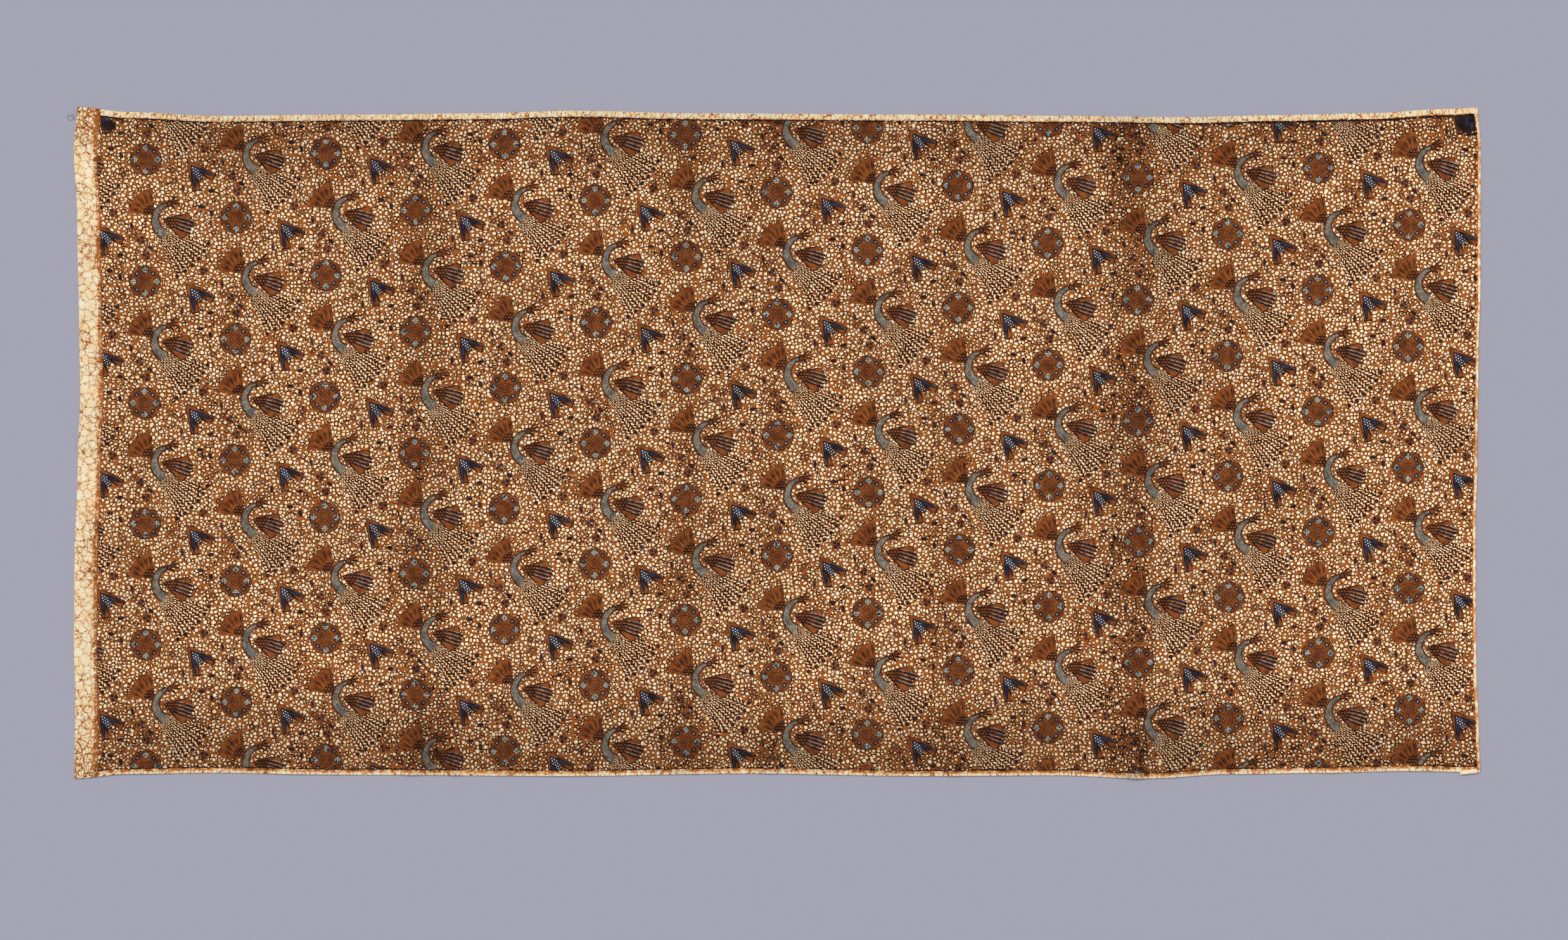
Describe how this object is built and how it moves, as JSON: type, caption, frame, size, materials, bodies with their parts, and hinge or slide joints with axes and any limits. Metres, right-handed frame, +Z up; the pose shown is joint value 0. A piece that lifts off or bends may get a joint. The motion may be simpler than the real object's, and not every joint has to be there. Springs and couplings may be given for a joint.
{
  "type": "batik sarong cloth laid out flat",
  "caption": "Flat open length of batik cotton for a sarong, patterned with birds, flowers and moths on a pebbled ground, with an undyed end band.",
  "frame": {"origin": "middle of the bounding rectangle, on the flat underside where the cloth rests", "axes": "+X along the length of the cloth from the undyed end band, +Y across its width towards the top selvedge, +Z up out of the face side"},
  "size_m": [2.22, 1.06, 0.0031],
  "materials": {
    "batik_cotton": "matte plain-weave cotton, wax-resist dyed soga brown, indigo and near-black with undyed cream pebbles",
    "undyed_cotton": "matte undyed cream cotton with brown wax crackle"
  },
  "bodies": {
    "root": {"batik_cloth": "batik_cotton", "folded_corner": "undyed_cotton"}
  },
  "joints": []
}
